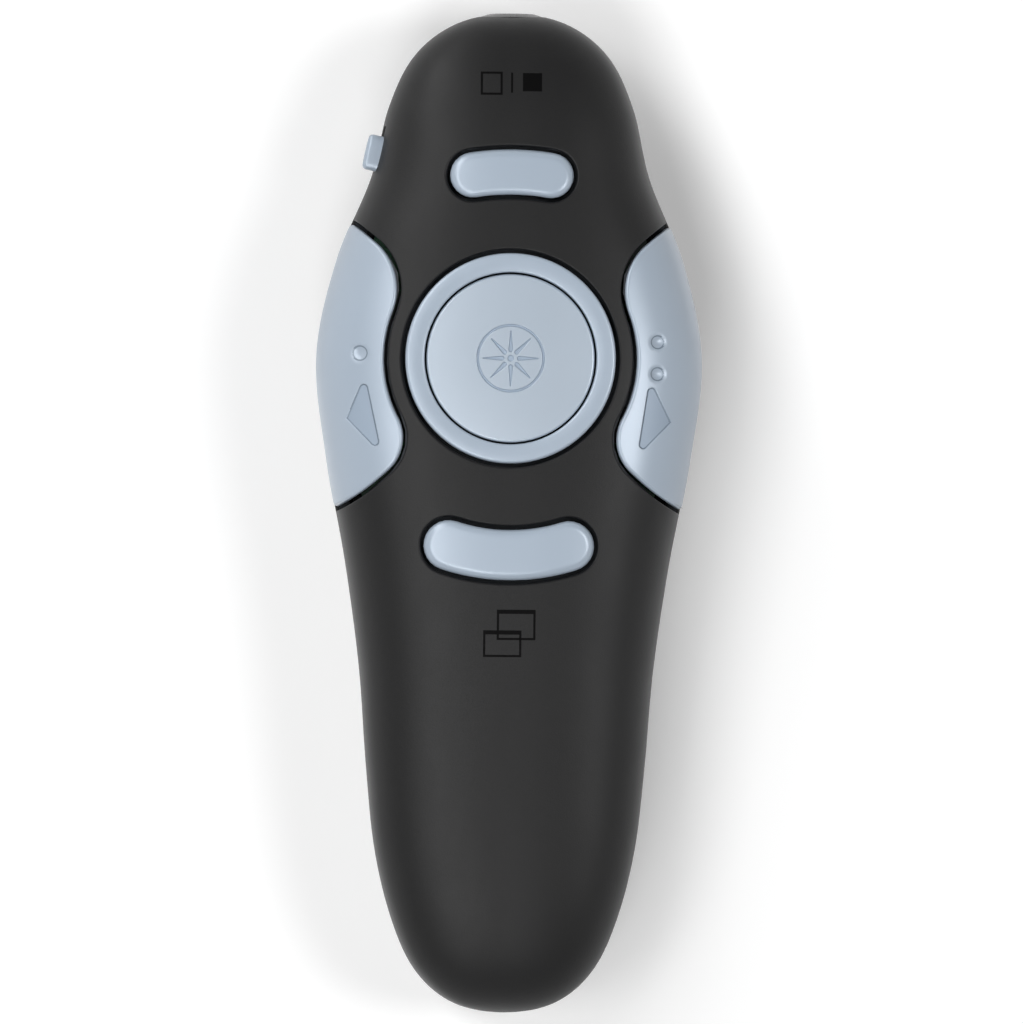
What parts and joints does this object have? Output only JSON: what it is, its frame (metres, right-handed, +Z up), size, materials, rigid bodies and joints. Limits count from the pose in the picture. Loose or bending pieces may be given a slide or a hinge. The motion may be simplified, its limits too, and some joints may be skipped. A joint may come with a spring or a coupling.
{
  "type": "wireless presentation clicker",
  "caption": "Hand-held slide clicker: soft black shell, pale dial, bar and side keys, lock slider, laser nose, sliding battery door and stowed USB receiver.",
  "frame": {"origin": "on the resting plane, under the middle of the body", "axes": "+Y towards the laser nose, +X to the right seen from above, +Z up through the keys"},
  "size_m": [0.0484, 0.1257, 0.0271],
  "materials": {
    "soft_black": "soft-touch black",
    "key_blue": "satin pale blue-grey",
    "hard_black": "semi-gloss black",
    "board": "green solder mask",
    "component": "moulded epoxy",
    "ivory": "natural nylon",
    "nickel": "bright nickel plate",
    "screw_steel": "zinc-plated steel",
    "brass": "turned brass",
    "gold": "gold flash",
    "lens": "clear acrylic",
    "window_red": "clear red acrylic",
    "cell_wrap": "printed shrink sleeve",
    "wire": "insulated lead"
  },
  "bodies": {
    "housing": {"top_shell": "soft_black", "bottom_shell": "soft_black", "trim_ring": "key_blue", "laser_bezel": "hard_black", "laser_window": "window_red", "laser_barrel": "brass", "laser_lens": "lens", "laser_driver_board": "board", "laser_leads": "wire", "circuit_board": "board", "tact_switch_bodies": "component", "lock_switch_body": "component", "controller_chip": "component", "radio_chip": "component", "crystal": "nickel", "chip_passives": "component", "board_screws": "screw_steel", "housing_screws": "screw_steel", "cell_right": "cell_wrap", "cell_left": "cell_wrap", "bridge_plate": "nickel", "bridge_spring": "nickel", "positive_terminal": "nickel", "negative_terminal": "nickel", "negative_spring": "nickel"},
    "laser_button": {"laser_key": "key_blue", "laser_plunger": "ivory"},
    "blank_screen_button": {"blank_screen_key": "key_blue", "blank_screen_plunger": "ivory"},
    "window_button": {"window_key": "key_blue", "window_plunger": "ivory"},
    "previous_button": {"previous_key": "key_blue", "previous_plunger": "ivory"},
    "next_button": {"next_key": "key_blue", "next_plunger": "ivory"},
    "lock": {"lock_slider": "key_blue", "lock_switch_actuator": "ivory"},
    "door": {"battery_door": "soft_black"},
    "receiver": {"receiver_cap": "hard_black", "receiver_plug_shell": "nickel", "receiver_tongue": "ivory", "receiver_contacts": "gold"}
  },
  "joints": [
    {"name": "laser_press", "type": "slide", "parent": "housing", "child": "laser_button", "axis": [0, 0, -1], "range_m": [0, 0.0006], "stiffness_N_per_m": 300, "springref_m": -0.003},
    {"name": "blank_screen_press", "type": "slide", "parent": "housing", "child": "blank_screen_button", "axis": [0, 0, -1], "range_m": [0, 0.0006], "stiffness_N_per_m": 300, "springref_m": -0.003},
    {"name": "window_press", "type": "slide", "parent": "housing", "child": "window_button", "axis": [0, 0, -1], "range_m": [0, 0.0006], "stiffness_N_per_m": 300, "springref_m": -0.003},
    {"name": "previous_press", "type": "slide", "parent": "housing", "child": "previous_button", "axis": [0, 0, -1], "range_m": [0, 0.0006], "stiffness_N_per_m": 300, "springref_m": -0.003},
    {"name": "next_press", "type": "slide", "parent": "housing", "child": "next_button", "axis": [0, 0, -1], "range_m": [0, 0.0006], "stiffness_N_per_m": 300, "springref_m": -0.003},
    {"name": "lock_slide", "type": "slide", "parent": "housing", "child": "lock", "axis": [0.2072, 0.9783, 0], "range_m": [0, 0.002]},
    {"name": "door_slide", "type": "slide", "parent": "housing", "child": "door", "axis": [0, -1, 0], "range_m": [0, 0.06]},
    {"name": "receiver_slide", "type": "slide", "parent": "housing", "child": "receiver", "axis": [0, 0, -1], "range_m": [0, 0.012]}
  ]
}
